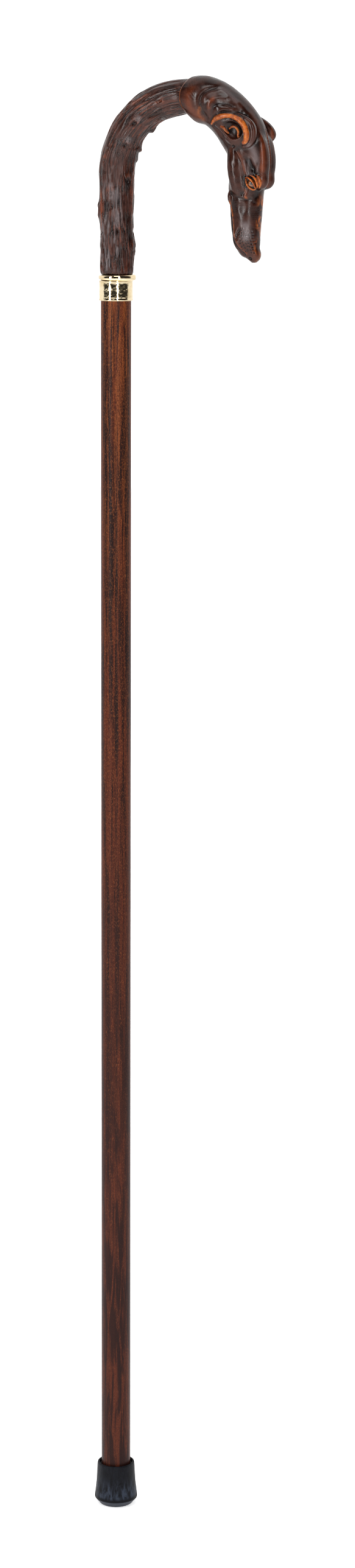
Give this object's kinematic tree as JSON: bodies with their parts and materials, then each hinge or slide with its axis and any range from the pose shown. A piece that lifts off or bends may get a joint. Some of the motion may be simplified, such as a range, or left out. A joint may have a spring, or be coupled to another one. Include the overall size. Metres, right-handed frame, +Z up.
{
  "type": "single point cane",
  "caption": "Walking cane with a round wooden shaft, a curved branch-like handle ending in a hound's head, a brass collar and a flared rubber ferrule.",
  "frame": {"origin": "middle of the ferrule's foot, on the ground", "axes": "+Z up along the shaft's axis, +X the way the hound looks, the handle symmetric about the XZ plane"},
  "size_m": [0.1179, 0.0332, 0.9324],
  "materials": {
    "rubber": "charcoal moulded rubber with pale scuffs",
    "steel": "plain mild steel",
    "shaft_wood": "red-brown stained beech with satin lacquer",
    "brass": "polished brass",
    "branch_resin": "cast resin, dark brown bark texture, semi-gloss",
    "head_resin": "cast resin, hand-painted dark brown with amber accents, glossy",
    "eye_glass": "brown and black glossy eye"
  },
  "bodies": {
    "cane": {"shaft": "shaft_wood", "collar_sleeve": "brass", "collar_bead": "brass", "core_rod": "steel", "crook_branch": "branch_resin", "hound_head": "head_resin", "eye_left": "eye_glass", "eye_right": "eye_glass"},
    "ferrule": {"ferrule": "rubber", "ferrule_washer": "steel"}
  },
  "joints": [
    {"name": "ferrule_pull", "type": "slide", "parent": "cane", "child": "ferrule", "axis": [0, 0, -1], "range_m": [0, 0.017]}
  ]
}
